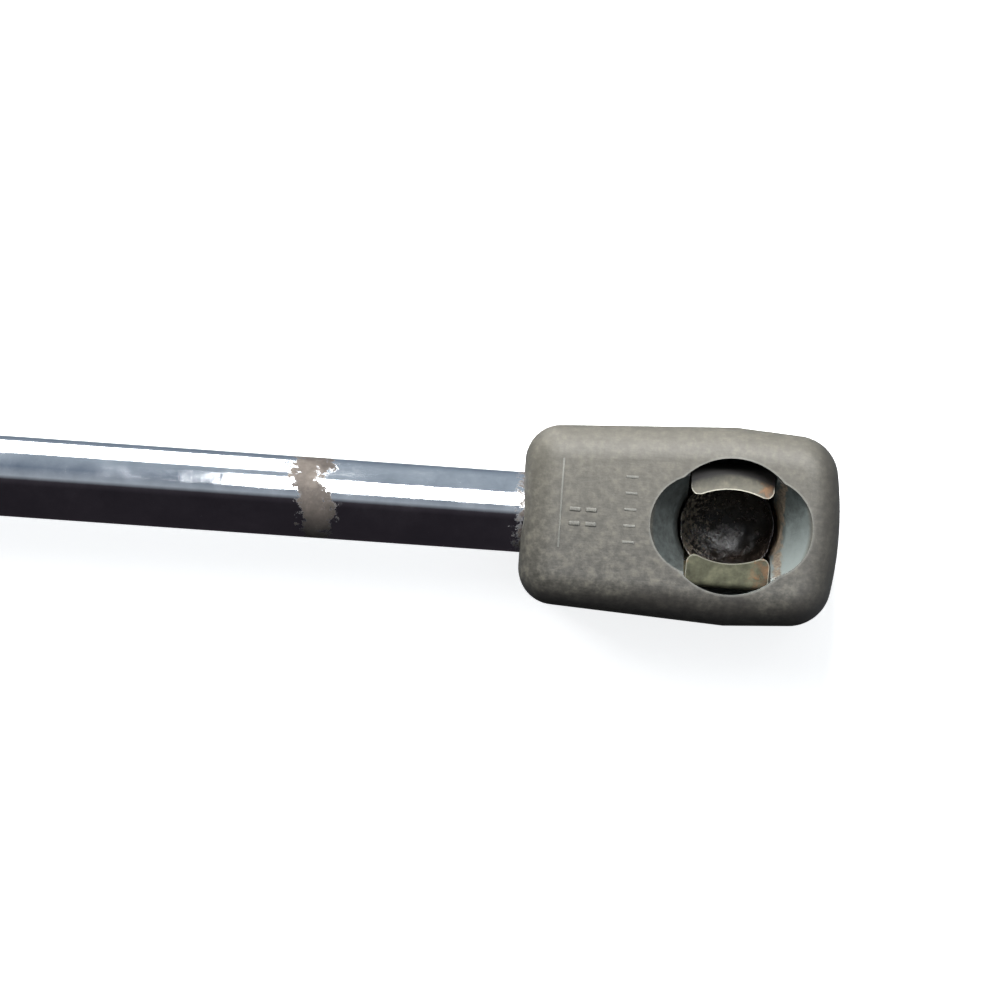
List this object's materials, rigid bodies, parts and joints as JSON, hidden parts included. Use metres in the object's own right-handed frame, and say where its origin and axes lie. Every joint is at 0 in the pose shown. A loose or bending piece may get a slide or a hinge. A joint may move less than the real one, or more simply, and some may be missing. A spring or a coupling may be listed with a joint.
{
  "type": "gas strut stay",
  "caption": "Gas strut stay for a window or hatch: a chromed rod slides in a sealed tube, with a push-fit ball socket and spring clip at each end.",
  "frame": {"origin": "centre of the ball held by the tube's socket", "axes": "+X along the strut from the tube's socket to the rod's, +Z out of both sockets' mouths, +Y across the strut"},
  "size_m": [0.3136, 0.0196, 0.018],
  "materials": {
    "tube_paint": "satin black stove enamel on drawn steel tube",
    "plug_steel": "turned, zinc plated",
    "seal_rubber": "nitrile rubber, oily",
    "guide_plastic": "natural acetal",
    "bush_bronze": "bronze strip with a low-friction lining",
    "washer_steel": "pressed steel",
    "rod_chrome": "ground and hard chromed, with dried dirt and rust specks",
    "piston_alloy": "die-cast",
    "ring_plastic": "filled fluoropolymer",
    "head_plastic": "glass-filled nylon, bleached grey and dusty",
    "clip_steel": "spring strip, dull, with rust stains"
  },
  "bodies": {
    "barrel": {"pressure_tube": "tube_paint", "end_plug": "plug_steel", "end_plug_seal": "seal_rubber", "rod_guide": "guide_plastic", "guide_bush": "bush_bronze", "wiper_ring": "seal_rubber", "seal_washer": "washer_steel", "rod_seal": "seal_rubber", "support_ring": "washer_steel", "tube_end_socket": "head_plastic", "tube_clip_base": "clip_steel"},
    "slider": {"piston_ring": "ring_plastic"},
    "rod": {"piston_rod": "rod_chrome", "rebound_sleeve": "guide_plastic", "valve_disc": "washer_steel", "piston": "piston_alloy", "backing_washer": "washer_steel", "rod_end_socket": "head_plastic", "rod_clip_base": "clip_steel"},
    "rod_arm_a": {"rod_clip_arm_a": "clip_steel"},
    "rod_arm_b": {"rod_clip_arm_b": "clip_steel"},
    "tube_arm_a": {"tube_clip_arm_a": "clip_steel"},
    "tube_arm_b": {"tube_clip_arm_b": "clip_steel"}
  },
  "joints": [
    {"name": "rod_slide", "type": "slide", "parent": "barrel", "child": "slider", "axis": [1, 0, 0], "range_m": [-0.1, 0], "stiffness_N_per_m": 10, "springref_m": 0.1},
    {"name": "rod_turn", "type": "hinge", "parent": "slider", "child": "rod", "pos_m": [0.14, 0, 0], "axis": [1, 0, 0], "continuous": true},
    {"name": "rod_clip_a", "type": "hinge", "parent": "rod", "child": "rod_arm_a", "pos_m": [0.292, 0.00382, -0.00382], "axis": [-1, 0, 0], "range_deg": [0, 11.5], "stiffness_Nm_per_rad": 0.002},
    {"name": "rod_clip_b", "type": "hinge", "parent": "rod", "child": "rod_arm_b", "pos_m": [0.292, -0.00382, -0.00382], "axis": [1, 0, 0], "range_deg": [0, 11.5], "stiffness_Nm_per_rad": 0.002},
    {"name": "tube_clip_a", "type": "hinge", "parent": "barrel", "child": "tube_arm_a", "pos_m": [0, -0.00382, -0.00382], "axis": [1, 0, 0], "range_deg": [0, 11.5], "stiffness_Nm_per_rad": 0.002},
    {"name": "tube_clip_b", "type": "hinge", "parent": "barrel", "child": "tube_arm_b", "pos_m": [0, 0.00382, -0.00382], "axis": [-1, 0, 0], "range_deg": [0, 11.5], "stiffness_Nm_per_rad": 0.002}
  ],
  "couplings": [
    {"joint": "rod_clip_b", "follows": "rod_clip_a", "ratio": 1},
    {"joint": "tube_clip_b", "follows": "tube_clip_a", "ratio": 1}
  ]
}
